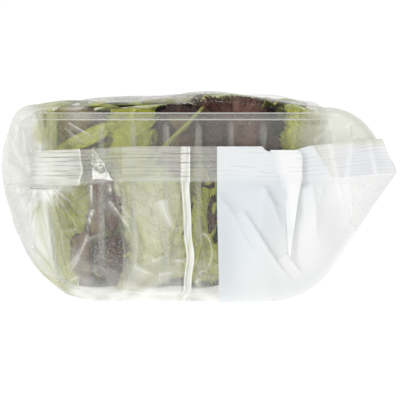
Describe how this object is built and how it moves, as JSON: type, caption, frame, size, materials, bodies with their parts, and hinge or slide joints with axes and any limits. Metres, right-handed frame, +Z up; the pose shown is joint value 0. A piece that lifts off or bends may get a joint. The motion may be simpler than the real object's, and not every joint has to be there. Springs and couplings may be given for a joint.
{
  "type": "flow-wrapped tray of salad leaves",
  "caption": "Clear ribbed tray heaped with mixed green and red salad leaves, sealed in clear film whose end seal is folded up against the front, with one ear standing out.",
  "frame": {"origin": "middle of the flat base, on the surface that the pack stands on", "axes": "+Z up, +Y from the shown front end to the back end, +X to the right as the front end is seen"},
  "size_m": [0.192, 0.2028, 0.0972],
  "materials": {
    "clear_film": "thin clear glossy film with a white printed panel, creased, with a hazy crimped seal",
    "clear_tray": "clear thermoformed plastic with upright ribs, slightly hazy",
    "green_leaf": "fresh lettuce, satin, with pale veins and frilled edges",
    "red_leaf": "fresh red lettuce, satin, dark red-brown with lighter veins"
  },
  "bodies": {
    "root": {"salad_bag": "clear_film"}
  },
  "joints": []
}
